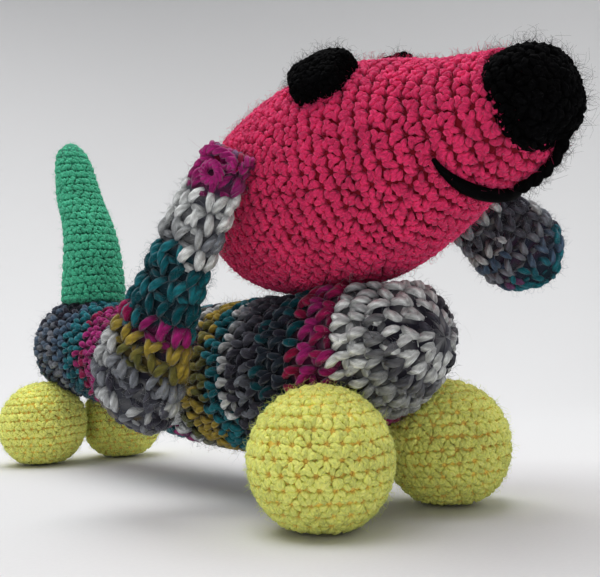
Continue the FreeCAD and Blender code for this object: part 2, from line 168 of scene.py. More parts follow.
class Strands:
    """Collects closed tapered strands and solid cores, and makes them one mesh."""

    def __init__(self):
        self.verts, self.faces, self.uvs, self.bake, self.colour = [], [], [], [], []
        self.base, self.cells = 0, 0

    def tubes(self, path, radius, colour, sides=6, up=None):
        """Adds n strands, each a closed tube with pointed caps through m points.

        path is (n, m, 3) in mm, radius (n, m) or (m,), colour (n, m, 3), and up the side that faces outwards.
        """
        path = np.asarray(path, float)
        n, m, _ = path.shape
        radius = np.broadcast_to(radius, (n, m))
        colour = np.broadcast_to(colour, (n, m, 3))
        along = np.gradient(path, axis=1)
        along /= np.maximum(np.linalg.norm(along, axis=2, keepdims=True), 1e-9)
        if up is None:
            up = np.broadcast_to(np.array([0.3, 0.5, 0.81]), path.shape)
        side = np.cross(along, up)
        side /= np.maximum(np.linalg.norm(side, axis=2, keepdims=True), 1e-6)
        over = np.cross(side, along)
        angle = 2 * np.pi * np.arange(sides) / sides
        ring = (side[:, :, None] * np.cos(angle)[None, None, :, None]
                + over[:, :, None] * np.sin(angle)[None, None, :, None])
        body = path[:, :, None] + ring * radius[:, :, None, None]
        point = 0.6                     # of the radius, the height of a cap
        first = path[:, :1] - along[:, :1] * radius[:, :1, None] * point
        last = path[:, -1:] + along[:, -1:] * radius[:, -1:, None] * point
        verts = np.concatenate([body.reshape(n, m * sides, 3), first, last], 1)
        tint = np.concatenate([np.repeat(colour, sides, axis=1).reshape(n, m * sides, 3),
                               colour[:, :1], colour[:, -1:]], 1)
        j = np.arange(sides)
        nxt = (j + 1) % sides

        def corner(step, turn):
            """Where a face corner lies on the unrolled strand, for each side."""
            return np.stack([0.0 * j + step, turn], 1)

        quads, quad_uv = [], []
        for i in range(m - 1):
            a, b = i * sides, (i + 1) * sides
            quads.append(np.stack([a + j, b + j, b + nxt, a + nxt], 1))
            uv = [corner(i, j), corner(i + 1, j), corner(i + 1, j + 1), corner(i, j + 1)]
            quad_uv.append(np.stack(uv, 1))
        quads = np.concatenate(quads)
        unrolled = np.array([m - 1.0, sides])
        quad_uv = np.concatenate(quad_uv) / unrolled
        last_ring, head, tail = (m - 1) * sides, m * sides, m * sides + 1
        tris = np.concatenate([np.stack([0 * j + head, j, nxt], 1),
                               np.stack([0 * j + tail, last_ring + nxt, last_ring + j], 1)])
        head_uv = np.stack([corner(0, j + 0.5), corner(0, j), corner(0, j + 1)], 1)
        tail_uv = np.stack([corner(m - 1, j + 0.5), corner(m - 1, j + 1), corner(m - 1, j)], 1)
        tri_uv = np.concatenate([head_uv, tail_uv]) / unrolled
        offset = (np.arange(n) * (m * sides + 2))[:, None, None] + self.base
        self.add(verts.reshape(-1, 3), tint.reshape(-1, 3),
                 [(quads[None] + offset).reshape(-1, 4), (tris[None] + offset).reshape(-1, 3)],
                 [np.broadcast_to(uv, (n,) + uv.shape) for uv in (quad_uv, tri_uv)],
                 np.arange(n) + self.cells)
        self.cells += n

    def core(self, form, lift, colour, around, along):
        """Adds a closed solid, lift mm off the form and nearer to it at the poles, of along rings."""
        s, turn = core_grid(form, around, along)
        shallow = np.clip(np.minimum(s, form.length - s) / 30, 0.1, 1)      # whole from 30 mm off a pole
        grid, _ = form.point(s, turn, lift * shallow)
        ends = np.stack([grid[:around].mean(0), grid[-around:].mean(0)])
        verts = np.vstack([grid, ends])
        j = np.arange(around)
        nxt = (j + 1) % around
        quads = np.concatenate([np.stack([i * around + j, i * around + nxt, (i + 1) * around + nxt,
                                          (i + 1) * around + j], 1) for i in range(along - 1)])
        tris = np.concatenate([np.stack([0 * j + along * around, nxt, j], 1),
                               np.stack([0 * j + along * around + 1, (along - 1) * around + j,
                                         (along - 1) * around + nxt], 1)])
        uv4 = np.zeros((1, len(quads), 4, 2)) + 0.5
        uv3 = np.zeros((1, len(tris), 3, 2)) + 0.5
        self.add(verts, colour, [quads + self.base, tris + self.base], [uv4, uv3], np.array([self.cells]))
        self.cells += 1

    def add(self, verts, tint, faces, uvs, cells):
        """Keeps faces of one size each, with their strand UVs and the cells of the bake layout they fill."""
        self.verts.append(verts)
        self.colour.append(tint)
        for f, uv in zip(faces, uvs):
            self.faces.append(f)
            self.uvs.append(uv.reshape(-1, 2))
            per = f.size // len(cells)
            self.bake.append((np.repeat(cells, per), uv.reshape(-1, 2)))
        self.base += len(verts)

    def build(self, name, material):
        """Makes the mesh, its two UV layers and its yarn colours with their painted shade, and gives the new
        object.
        """
        verts = np.vstack(self.verts) * MM
        mesh = bpy.data.meshes.new(name)
        corners = np.concatenate([f.reshape(-1) for f in self.faces]).astype(np.int32)
        totals = np.concatenate([np.full(len(f), f.shape[1]) for f in self.faces]).astype(np.int32)
        mesh.vertices.add(len(verts))
        mesh.vertices.foreach_set("co", verts.astype(np.float32).reshape(-1))
        mesh.loops.add(len(corners))
        mesh.loops.foreach_set("vertex_index", corners)
        mesh.polygons.add(len(totals))
        starts = np.concatenate([[0], np.cumsum(totals)[:-1]]).astype(np.int32)
        mesh.polygons.foreach_set("loop_start", starts)
        mesh.polygons.foreach_set("loop_total", totals)
        mesh.update(calc_edges=True)
        strand = mesh.uv_layers.new(name="strand")
        strand.data.foreach_set("uv", np.concatenate(self.uvs).astype(np.float32).reshape(-1))
        side = math.ceil(math.sqrt(self.cells))
        cell = np.concatenate([c for c, _ in self.bake])
        within = np.concatenate([uv for _, uv in self.bake])
        tile = np.stack([cell % side, cell // side], 1)
        margin = 0.08                   # of a cell, left free on each side
        layout = (tile + margin + (1 - 2 * margin) * within) / side
        bake = mesh.uv_layers.new(name="OFBake")
        bake.data.foreach_set("uv", layout.astype(np.float32).reshape(-1))
        # the yarn colours hold each strand's painted shade
        tint = np.vstack(self.colour)
        rgba = np.column_stack([np.clip(tint, 0, 1), np.ones(len(tint))]).astype(np.float32)
        layer = mesh.attributes.new("yarn", "FLOAT_COLOR", "POINT")
        layer.data.foreach_set("color", rgba.reshape(-1))
        mesh.polygons.foreach_set("use_smooth", np.ones(len(totals), bool))
        mesh.materials.append(material)
        mesh.validate()
        piece = bpy.data.objects.new(name, mesh)
        bpy.context.scene.collection.objects.link(piece)
        return piece


# ---------------------------------------------------------------- crochet

def stitch_seats(form, stitch_width, row_height, loose):
    """Where every stitch of one continuous spiral sits.

    Gives arrays of arc, turn, stitches to a round and serial number, and the row height. A round holds a
    whole number of stitches and a half, so each stitch sits over the gap of the round below.
    """
    least = 5.5                         # stitches in the smallest round
    count = max(2, round(form.length / row_height))
    height = form.length / count
    turned, serial, seats = 0.0, 0, []
    for k in range(count):
        per = max(least, round(form.girth((k + 0.5) * height) / stitch_width - 0.5) + 0.5)
        index = np.arange(math.ceil((k + 1 - turned) * per - 1e-6))
        along = turned + index / per
        seats.append(np.column_stack([along * height, along % 1.0, np.full(len(index), per), serial + index]))
        turned = along[-1] + 1 / per
        serial += len(index)
    s, turn, per, order = np.vstack(seats).T
    s = s + rng.normal(0, loose * height * 0.5, len(s))
    turn = turn + rng.normal(0, loose * 0.5, len(s)) / per
    return s, turn, per, order, height


def core_grid(form, around, along):
    """The arcs and turns of the points of a core's rings."""
    s = np.repeat(np.linspace(0.3, form.length - 0.3, along), around)
    return s, np.tile(np.arange(around) / around, along)


def inner_core(strands, form, colour_of, deep, depth, shade=0.06):
    """The closed solid seen at the bottom of the holes between stitches, coloured with painted shade that is
    lighter at a firm piece's poles.
    """
    around, along = 56, 64
    s, turn = core_grid(form, around, along)
    fade, bright = 7, 0.75              # how far from a pole the painted shade is lighter, mm, and how light it gets
    near_pole = np.clip(1 - np.minimum(s, form.length - s) / fade, 0, 1) * (deep is not None)
    inner = painted_shade_mix(colour_of(s, turn, None), deep, (shade + (bright - shade) * near_pole)[:, None])
    strands.core(form, -depth, np.vstack([inner, inner[:1], inner[-1:]]), around, along)


def open_crochet(strands, form, colour_of):
    """Loose single crochet in thick yarn: each stitch is an open V of two legs with a sunken bar behind."""
    stitch_width, row_height = CHUNKY
    plump, loose = 0.20, 0.30           # the yarn's radius and the looseness, as shares of a stitch
    gap, slant = 0.13, 0.10             # how far apart the legs start, and how far they lean
    s, turn, per, order, height = stitch_seats(form, stitch_width, row_height, loose)
    n = len(s)
    width = form.girth(np.clip(s, 0, form.length)) / per
    thick = plump * stitch_width * rng.normal(1, 0.08, n)
    colour = colour_of(s, turn, order)
    narrow = np.minimum(1.0, width / (0.70 * stitch_width))
    t = np.linspace(0, 1, 6)
    bulge = np.sin(np.pi * (0.08 + 0.84 * t))
    for hand in (-1, 1):
        lean = slant + rng.normal(0, 0.08, n)
        spread = hand * (gap + (0.45 - gap) * t**0.8) + 0.05 * hand * bulge
        across = spread[None] + lean[:, None] * (t - 0.4)
        up = (-0.54 + 1.06 * t)[None] * height
        sunk = rng.normal(0, 0.14, n)[:, None]
        depth = thick[:, None] * (-1.95 + 1.30 * bulge[None] ** 0.9 + sunk)
        path, normal = form.point(s[:, None] + up, turn[:, None] + across / per[:, None], depth)
        radius = (thick * narrow)[:, None] * (0.46 + 0.56 * bulge[None] ** 0.8)
        # painted shade: each leg darkens towards its ends, where it dives under
        shade = (0.10 + 0.90 * bulge ** 1.5)[None, :, None]
        tint = painted_shade_mix(colour, None, shade) * rng.normal(1, 0.08, (n, 1, 1))
        strands.tubes(path, radius, tint, sides=6, up=normal)
    t = np.linspace(0, 1, 4)
    bulge = np.sin(np.pi * (0.1 + 0.8 * t))
    across = (t - 0.5)[None] * 0.66 + slant * 0.5
    rise = height * (0.50 + 0.10 * bulge[None]) + rng.normal(0, 0.06, n)[:, None] * height
    path, normal = form.point(s[:, None] + rise, turn[:, None] + across / per[:, None],
                              thick[:, None] * (-2.10 + 0.85 * bulge[None]))
    radius = (thick * narrow)[:, None] * (0.50 + 0.44 * bulge[None])
    # painted shade: the sunken bar is dark, darkest at its ends
    shade = (0.12 + 0.50 * bulge ** 1.4)[None, :, None]
    tint = painted_shade_mix(colour, None, shade) * rng.normal(0.96, 0.06, (n, 1, 1))
    strands.tubes(path, radius, tint, sides=5, up=normal)
    inner_core(strands, form, colour_of, None, 1.85 * plump * stitch_width)


PETALS = (36, 90, 144, 215, 270, 325)     # degrees from across, of the loops round every hole


def tight_crochet(strands, form, stitch_width, row_height, colour_of, deep, plump=0.205, proud=0.1,
                  loose=0.12, hole=0.18, pit=0.05):
    """Firm single crochet: short plump loops fan out round a small hole at every stitch.

    plump is the yarn's radius, hole the hole's and loose the looseness, as shares of a stitch; proud is how
    many radii the yarn stands out; and pit is how bright the painted shade at the bottom of a hole is.
    """
    s, turn, per, order, height = stitch_seats(form, stitch_width, row_height, loose)
    n = len(s)
    width = form.girth(np.clip(s, 0, form.length)) / per
    thick = plump * stitch_width * rng.normal(1, 0.06, n)
    colour = colour_of(s, turn, order)
    narrow = np.minimum(1.0, width / (0.80 * stitch_width))
    t = np.array([0.0, 0.30, 0.68, 1.0])
    # shade_of is painted shade along each loop, darkest at the hole where it dives under
    depth_of, size_of, shade_of = (np.interp(t, (0, 0.4, 1), v)[None] for v in
                                   ((-1.95, -0.85, -1.20), (0.42, 1.0, 0.86), (0.36, 1.0, 0.82)))
    for degrees in PETALS:
        angle = np.radians(degrees + 8 + rng.normal(0, 8, n))[:, None]
        reach = hole + (0.63 + rng.normal(0, 0.03, n)[:, None] - hole) * t[None]
        sunk = rng.normal(0, 0.10, n)[:, None]
        path, normal = form.point(s[:, None] + np.sin(angle) * reach * height * 1.12,
                                  turn[:, None] + np.cos(angle) * reach / per[:, None],
                                  thick[:, None] * (depth_of + proud + sunk))
        tint = painted_shade_mix(colour, deep, shade_of[..., None]) * rng.normal(1, 0.07, (n, 1, 1))
        strands.tubes(path, (thick * narrow)[:, None] * size_of, tint, sides=5, up=normal)
    inner_core(strands, form, colour_of, deep, (1.62 - proud) * plump * stitch_width, pit)


def painted_shade_mix(colour, deep, shade):
    """Mixes a yarn colour towards deep, the painted shade between its stitches; None is a painted dark of its
    own.
    """
    if colour.ndim == 2 and shade.ndim == 3:
        colour = colour[:, None]
    shadow = colour * 0.10 + INK * 0.5 if deep is None else deep
    return shadow * (1 - shade) + colour * shade


def plain(colour, spread=0.04):
    """Yarn of one colour, a little lighter and darker from place to place."""
    def pick(s, turn, order):
        wave = 1 + 0.05 * np.sin(s * 0.31 + 9 * turn)
        if order is not None:
            wave = wave + rng.normal(0, spread, len(s))
        return colour[None] * np.reshape(wave, (-1, 1))
    return pick


def striping(form, bands, run=4.0, jitter=1.3):
    """Self-striping yarn, whose colour changes along it.

    bands are pairs of the height on the form where a band ends, and its colours. A colour lasts for run
    stitches, and a band's edge wanders by jitter mm.
    """
    ends = np.array([b[0] for b in bands], float)
    size = max(len(b[1]) for b in bands)
    palette = np.array([[b[1][i % len(b[1])] for i in range(size)] for b in bands])
    counts = np.array([len(b[1]) for b in bands])
    table = rng.random(4096)

    def pick(s, turn, order):
        turn = turn % 1.0
        wobble = jitter * (np.sin(2 * np.pi * turn * 2 + s * 0.13) + 0.6 * np.sin(2 * np.pi * turn * 5 + 1.7))
        if order is not None:
            wobble = wobble + rng.normal(0, jitter * 0.35, len(s))
            cell = (order / run).astype(int)
        else:
            cell = (s * 0.9 + turn * 11).astype(int)
        band = np.clip(np.searchsorted(ends, form.ring(s)[0] + wobble), 0, len(ends) - 1)
        choice = (table[(cell * 37 + band * 101) % 4096] * counts[band]).astype(int)
        colour = palette[band, choice]
        if order is not None:
            other = palette[band, (choice + 1) % size]
            share = (table[(order.astype(int) * 13 + 7) % 4096] * 0.45)[:, None] ** 1.5
            colour = colour * (1 - share) + other * share
        return colour
    return pick


def fuzz(strands, form, count, length, colour_of, radius=0.03, lift=0.3, stand=0.45, where=None):
    """Loose fibres that stand off the yarn, each a thin closed curl."""
    s = rng.uniform(0.5, form.length - 0.5, count * 2)
    keep = rng.random(len(s)) < form.girth(s) / form.girth(np.linspace(0, form.length, 60)).max()
    s = s[keep][:count]
    turn = rng.random(len(s))
    if where is not None:
        inside = where(s, turn)
        s, turn = s[inside], turn[inside]
    root, normal = form.point(s, turn, np.full(len(s), lift))
    hairs(strands, root, normal, length, colour_of(s, turn, None), radius, stand)


def hairs(strands, root, normal, length, colour, radius, stand=0.45):
    """Thin curls from each root, up to length mm long; stand is how much they follow the normal."""
    n = len(root)
    m = 4 if length > 3.5 else 3
    t = np.linspace(0, 1, m)
    drift = rng.normal(0, 1, (n, 3))
    way = normal * stand + 0.5 * drift
    way /= np.linalg.norm(way, axis=1, keepdims=True)
    curl = np.cross(way, rng.normal(0, 1, (n, 3)))
    curl /= np.linalg.norm(curl, axis=1, keepdims=True)
    size = length * rng.uniform(0.3, 1.0, n) ** 2.0
    size_at = size[:, None, None]
    bend = np.sin(t * rng.uniform(2.0, 4.6, (n, 1)))[..., None]
    path = root[:, None] + way[:, None] * (t[None, :, None] * size_at)
    path = path + curl[:, None] * (bend * size_at * 0.5)
    thin = radius * (1.0 - 0.6 * t)[None]
    strands.tubes(path, np.repeat(thin, n, 0), np.repeat(colour[:, None], m, 1), sides=3)


# ---------------------------------------------------------------- materials

def nodes_of(name):
    """A new material, its node tree and its shader."""
    material = bpy.data.materials.new(name)
    material.use_nodes = True
    tree = material.node_tree
    shader = tree.nodes["Principled BSDF"]
    return material, tree, shader


def link(tree, out, into):
    tree.links.new(out, into)


def calc(tree, operation, a, b=None):
    """A Math node's output, from numbers or other sockets."""
    node = tree.nodes.new("ShaderNodeMath")
    node.operation = operation
    for socket, value in ((0, a), (1, b)):
        if value is None:
            continue
        if isinstance(value, (int, float)):
            node.inputs[socket].default_value = value
        else:
            link(tree, value, node.inputs[socket])
    return node.outputs[0]


def noise_node(tree, scale, detail=2.0, distortion=0.0):
    node = tree.nodes.new("ShaderNodeTexNoise")
    node.inputs["Scale"].default_value = scale
    node.inputs["Detail"].default_value = detail
    node.inputs["Distortion"].default_value = distortion
    return node


def bump_node(tree, height, shader, strength, distance):
    """Relief from a height, into the shader's normal."""
    node = tree.nodes.new("ShaderNodeBump")
    node.inputs["Strength"].default_value = strength
    node.inputs["Distance"].default_value = distance
    link(tree, height, node.inputs["Height"])
    link(tree, node.outputs[0], shader.inputs["Normal"])


def mottled(tree, noise, shader, dark, light):
    """The shader's colour as a noise between two colours."""
    place = tree.nodes.new("ShaderNodeTexCoord")
    link(tree, place.outputs["Object"], noise.inputs["Vector"])
    ramp = tree.nodes.new("ShaderNodeValToRGB")
    ramp.color_ramp.elements[0].color = (*dark, 1)
    ramp.color_ramp.elements[1].color = (*light, 1)
    link(tree, noise.outputs[0], ramp.inputs[0])
    link(tree, ramp.outputs[0], shader.inputs["Base Color"])


def yarn_material(name, sheen, ply_depth, sheen_tint=(1, 1, 1), shade=0.22, heather=0.45, gloss=0.2):
    """Twisted plies and loose fibres along each strand, in the colour held by the strand, painted shade
    included.

    shade is how dark the painted shade in the grooves between plies is, ply_depth their relief, and heather
    the mottling.
    """
    material, tree, shader = nodes_of(name)
    colour = tree.nodes.new("ShaderNodeAttribute")
    colour.attribute_name = "yarn"
    uv = tree.nodes.new("ShaderNodeUVMap")
    uv.uv_map = "strand"
    split = tree.nodes.new("ShaderNodeSeparateXYZ")
    link(tree, uv.outputs[0], split.inputs[0])
    along, around = split.outputs[0], split.outputs[1]
    twist = calc(tree, "ADD", calc(tree, "MULTIPLY", along, 1.6), calc(tree, "MULTIPLY", around, 3.0))
    ply = calc(tree, "SINE", calc(tree, "MULTIPLY", twist, 2 * math.pi))
    ply = calc(tree, "ADD", calc(tree, "MULTIPLY", ply, 0.5), 0.5)
    place = tree.nodes.new("ShaderNodeTexCoord")
    fibre = noise_node(tree, 3.2, 3.0, 1.5)
    grain = tree.nodes.new("ShaderNodeCombineXYZ")
    link(tree, calc(tree, "MULTIPLY", along, 0.9), grain.inputs[0])
    link(tree, calc(tree, "MULTIPLY", around, 5.0), grain.inputs[1])
    where = tree.nodes.new("ShaderNodeSeparateXYZ")
    link(tree, place.outputs["Object"], where.inputs[0])
    link(tree, calc(tree, "MULTIPLY", where.outputs[0], 90.0), grain.inputs[2])
    link(tree, grain.outputs[0], fibre.inputs["Vector"])
    blotch = noise_node(tree, 330.0)
    link(tree, place.outputs["Object"], blotch.inputs["Vector"])
    # painted shade in the grooves between plies
    value = calc(tree, "ADD", calc(tree, "MULTIPLY", ply, shade), 1.0 - shade)
    streaks = calc(tree, "ADD", calc(tree, "MULTIPLY", fibre.outputs[0], 1.3), 0.42)
    value = calc(tree, "MULTIPLY", value, streaks)
    mottling = calc(tree, "ADD", calc(tree, "MULTIPLY", blotch.outputs[0], heather), 1.05 - heather / 2)
    value = calc(tree, "MULTIPLY", value, mottling)
    mix = tree.nodes.new("ShaderNodeMix")
    mix.data_type = "RGBA"
    mix.blend_type = "MULTIPLY"
    mix.inputs[0].default_value = 1.0
    link(tree, colour.outputs["Color"], mix.inputs[6])
    grey = tree.nodes.new("ShaderNodeCombineColor")
    for k in range(3):
        link(tree, value, grey.inputs[k])
    link(tree, grey.outputs[0], mix.inputs[7])
    link(tree, mix.outputs[2], shader.inputs["Base Color"])
    relief = calc(tree, "MULTIPLY", fibre.outputs[0], 0.4)
    relief = calc(tree, "ADD", calc(tree, "MULTIPLY", ply, 0.6), relief)
    bump_node(tree, relief, shader, ply_depth, 0.0006)
    rough = calc(tree, "ADD", calc(tree, "MULTIPLY", fibre.outputs[0], 0.2), 0.75)
    link(tree, rough, shader.inputs["Roughness"])
    shader.inputs["Sheen Weight"].default_value = sheen
    shader.inputs["Sheen Roughness"].default_value = 0.4
    shader.inputs["Sheen Tint"].default_value = (*sheen_tint, 1)
    shader.inputs["Specular IOR Level"].default_value = gloss
    return material


# by the record's material slot
YARNS = {
    "pink_yarn": yarn_material("pink_yarn", 0.36, 0.8, (1.0, .38, .66)),
    "lime_yarn": yarn_material("lime_yarn", 0.4, 0.5, (.85, 1.0, .5), shade=0.15, heather=0.25),
    "green_yarn": yarn_material("green_yarn", 0.4, 0.5, (.5, 1.0, .8)),
    "variegated_yarn": yarn_material("variegated_yarn", 0.3, 0.9, (.85, .9, 1.0), shade=0.35, heather=0.8,
                                     gloss=0.06),
    "black_yarn": yarn_material("black_yarn", 0.0, 0.5, shade=0.3, gloss=0.03),
}


def fibre_material(name, colour):
    """A tangle of loose fibre in one colour."""
    material, tree, shader = nodes_of(name)
    noise = noise_node(tree, 700.0, 5.0, 2.0)
    mottled(tree, noise, shader, colour * 0.6, colour)
    bump_node(tree, noise.outputs[0], shader, 0.6, 0.001)
    shader.inputs["Roughness"].default_value = 0.9
    return material


STUFFING = fibre_material("stuffing", rgb(232, 232, 226))


def dress(node, material):
    """Gives a CAD node that stays in view its material."""
    mesh = frame["nodes"][node].data
    mesh.materials.clear()
    mesh.materials.append(material)


# ---------------------------------------------------------------- placing

def unit(v):
    v = np.asarray(v, float)
    return v / np.linalg.norm(v)


def turn_about(axis, degrees):
    return np.array(Matrix.Rotation(math.radians(degrees), 3, axis))


def place_at(spot, rotation):
    """A 4 x 4 placement in mm."""
    place = np.eye(4)
    place[:3, :3] = rotation
    place[:3, 3] = spot
    return place


def local_spot(x, y, z):
    """A point in mm, given from the body's mid-plane, the front feet's centre and the floor."""
    return np.array([MID + x, FRONT + y, z])


# ---------------------------------------------------------------- the pieces

def at_limit(joint, end):
    """The motion, in mm, of a joint from rest to one end of its range: 0 the lower, 1 the upper."""
    spot = np.array(joint["pos_m"]) / MM
    move = place_at(spot, turn_about(joint["axis"], joint["range_deg"][end]))
    move[:3, 3] -= move[:3, :3] @ spot
    return move


def head_places():
    """Where the head's form is at rest, and at the ends of its nod and its turn."""
    joints = {joint["name"]: joint for joint in frame["joints"]}
    places = [HEAD_AT]
    for nod in (0, 1):
        for turn in (0, 1):
            move = at_limit(joints["head_turn"], turn) @ at_limit(joints["head_nod"], nod)
            places.append(move @ HEAD_AT)
    return places


def pressed_under(points, form, place, gap):
    """Moves points that are inside a form, or nearer than gap, straight down out of it."""
    turn, spot = place[:3, :3], place[:3, 3]
    local = (points - spot) @ turn
    down = unit(np.append((turn.T @ np.array([0, 0, -1.0]))[:2], 0))
    beside = np.array([-down[1], down[0], 0])
    under, across = local @ down, local @ beside
    reach = np.interp(local[:, 2], form.rings[:, 0], form.rings[:, 1], left=0, right=0)
    reach = np.where(reach > 0, reach + gap, 0)
    inside = np.hypot(under, across) < reach
    surface = np.sqrt(np.maximum(reach**2 - across**2, 0))
    local[inside] += (surface - under)[inside, None] * down
    return local @ turn.T + spot


def riding(strands, name, slot, body):
    """Builds a piece that rides on a body, in the yarn of a material slot."""
    piece = strands.build(name, YARNS[slot])
    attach(piece, body)
    return piece


def dog_body():
    length, radius = 249.0, 27.4
    # share of the length from the rump, share of the radius, height of the centre line
    rows = smooth([(0, .20, 57.0), (.008, .42, 57.0), (.028, .66, 57.0), (.060, .84, 56.9),
                   (.100, .90, 56.6), (.180, .880, 54.0), (.275, .865, 50.2), (.420, .910, 45.2),
                   (.500, .950, 43.1), (.605, .995, 41.8), (.695, 1.0, 42.0), (.785, .985, 43.5),
                   (.855, .955, 46.6), (.890, .905, 48.8), (.920, .830, 50.4), (.955, .700, 51.3),
                   (.983, .500, 51.7), (1.0, .250, 51.8)])
    rings = round_rings(rows, length, radius, rows[:, 2])
    # local x is the world's -x, local y the world's z, local z runs forwards from the rump
    rotation = np.array([[-1.0, 0, 0], [0, 0, -1.0], [0, 1.0, 0]])
    form = Form(rings, place_at((MID, FRONT + 228.5, 0.0), rotation))
    bands = [(14, [SLATE, CHARCOAL, GREY]), (44, [CHARCOAL, SLATE, GREY, INK]),
             (63, [TEAL, DEEP_TEAL, SLATE]), (83, [MAGENTA, MAGENTA, CRIMSON]),
             (98, [WHITE, SILVER, GREY, CHARCOAL]), (112, [OLIVE, OCHRE, CHARCOAL]), (130, [TEAL, DEEP_TEAL]),
             (143, [MAGENTA, WHITE, TEAL, MAUVE]), (156, [SILVER, WHITE, CHARCOAL, OLIVE]),
             (168, [OCHRE, OCHRE, OLIVE]), (177, [TEAL, TEAL, DEEP_TEAL]), (183, [SILVER, WHITE, GREY]),
             (197, [CHARCOAL, INK, CHARCOAL, GREY]), (212, [DEEP_TEAL, DEEP_TEAL, INK]),
             (227, [CRIMSON, MAGENTA, CRIMSON]), (240, [WHITE, WHITE, SILVER, CHARCOAL]),
             (252, [WHITE, CHARCOAL, WHITE, INK]), (400, [WHITE, SILVER, CHARCOAL, MAUVE, WHITE, INK])]
    pick = striping(form, bands)
    strands = Strands()
    open_crochet(strands, form, pick)
    for place in head_places():
        strands.verts = [pressed_under(v, head_form(), place, 0.6) for v in strands.verts]
    piece = riding(strands, "body_knit", "variegated_yarn", "torso")
    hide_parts("body_shell")
    hair = Strands()
    fuzz(hair, form, 6500, 3.5, pick, radius=0.045)
    fuzz(hair, form, 500, 7.0, pick)
    riding(hair, "body_fuzz", "variegated_yarn", "torso")


# the back of the head, whose axis tips up by 5.4 degrees towards the snout
HEAD_AT = place_at((MID - 2.6, FRONT + 66.7, 98.0), turn_about("X", 90 - 5.4) @ turn_about("Z", 14))


def head_form():
    """The head's egg, from its back to the tip of the snout."""
    rows = smooth([(0, .20), (.012, .36), (.040, .57), (.090, .755), (.160, .875), (.280, .970), (.400, 1.0),
                   (.530, .950), (.660, .800), (.780, .610), (.870, .515), (.930, .450), (.972, .325),
                   (1, .120)])
    return Form(round_rings(rows, 130.0, 34.8), HEAD_AT)


def dog_head():
    form = head_form()
    pick = plain(PINK)
    strands = Strands()
    tight_crochet(strands, form, 5.3, 4.5, pick, PINK_PAINTED_SHADE)
    piece = riding(strands, "head_knit", "pink_yarn", "head")
    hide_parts("head_shell")
    hair = Strands()
    fuzz(hair, form, 6500, 2.8, pick, radius=0.05, lift=0.2, stand=0.6)
    riding(hair, "head_fuzz", "pink_yarn", "head")


def dog_feet():
    for name in ("front_right_foot", "front_left_foot", "rear_right_foot", "rear_left_foot"):
        low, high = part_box(name + "_shell")
        x, y = (low.x + high.x) / 2 / MM, (low.y + high.y) / 2 / MM
        radius = (high.x - low.x) / 2 / MM
        centre = high.z / MM - radius
        polar = np.linspace(0.0, np.pi, 90)
        height, wide = -np.cos(polar) * radius, np.sin(polar) * radius
        sole, soft = 0.5 - centre, 2.2      # the flattened sole's height, and the height it takes to flatten
        flattened = sole + soft * np.exp((height - sole - soft) / soft)
        height = np.where(height < sole + soft, flattened, height)
        rings = np.column_stack([height, wide, wide, 0 * wide, 0 * wide])[2:-2]
        spin = rng.uniform(-180, 180)
        tip = turn_about("X", rng.uniform(-3, 3))
        form = Form(rings, place_at((x, y, centre), tip @ turn_about("Z", spin)))
        pick = plain(LIME)
        strands = Strands()
        tight_crochet(strands, form, 4.6, 3.8, pick, LIME_PAINTED_GLOW, plump=0.225, proud=0.75, hole=0.14,
                      pit=0.5)
        for points in strands.verts:
            points[:, 2] = np.maximum(points[:, 2], FLOOR_GAP)
        piece = riding(strands, name + "_knit", "lime_yarn", "torso")
        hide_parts(name + "_shell", name + "_seam")
        hair = Strands()
        fuzz(hair, form, 2400, 2.6, pick, radius=0.05, lift=0.5, stand=0.6, where=lambda s, turn: s > 14)
        riding(hair, name + "_fuzz", "lime_yarn", "torso")


def dog_tail():
    # share of the height, share of the radius, how far the centre line leans back
    rows = smooth([(0, 1.0, 0), (.10, .99, .2), (.22, .94, 1.3), (.34, .88, 3.2), (.48, .82, 8.5),
                   (.62, .77, 16.5), (.76, .69, 22.0), (.88, .60, 26.2), (.95, .46, 28.2), (1, .20, 29.0)])
    rings = round_rings(rows, 88.0, 15.8, rows[:, 2])
    form = Form(rings, place_at((MID, FRONT + 196.0, 78.6), np.eye(3)))
    pick = plain(JADE)
    strands = Strands()
    tight_crochet(strands, form, 4.9, 4.4, pick, JADE_PAINTED_SHADE, hole=0.14)
    piece = strands.build("tail_knit", YARNS["green_yarn"])
    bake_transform(piece)
    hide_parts("tail_shell")
    hair = Strands()
    fuzz(hair, form, 1500, 2.6, pick, radius=0.045, stand=0.6)
    loose = hair.build("tail_fuzz", YARNS["green_yarn"])
    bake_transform(loose)


# each ear's sewn edge, its tip and the way its outer face looks
EAR_PLACES = {"right": ((-39.6, 22.4, 106.5), (-49.5, 66.3, 23.7), (-.91, -.35, 0)),
              "left": ((29.2, 22.4, 123.8), (96, 5.8, 83), (.45, .70, .55))}


def ear_axes(side):
    """An ear's sewn edge in mm, and the directions across it, out of its face and down to its tip."""
    root, tip, face = (np.array(v, float) for v in EAR_PLACES[side])
    down = unit(tip - root)
    out = unit(face - down * (face @ down))
    return local_spot(*root), np.cross(out, down), out, down


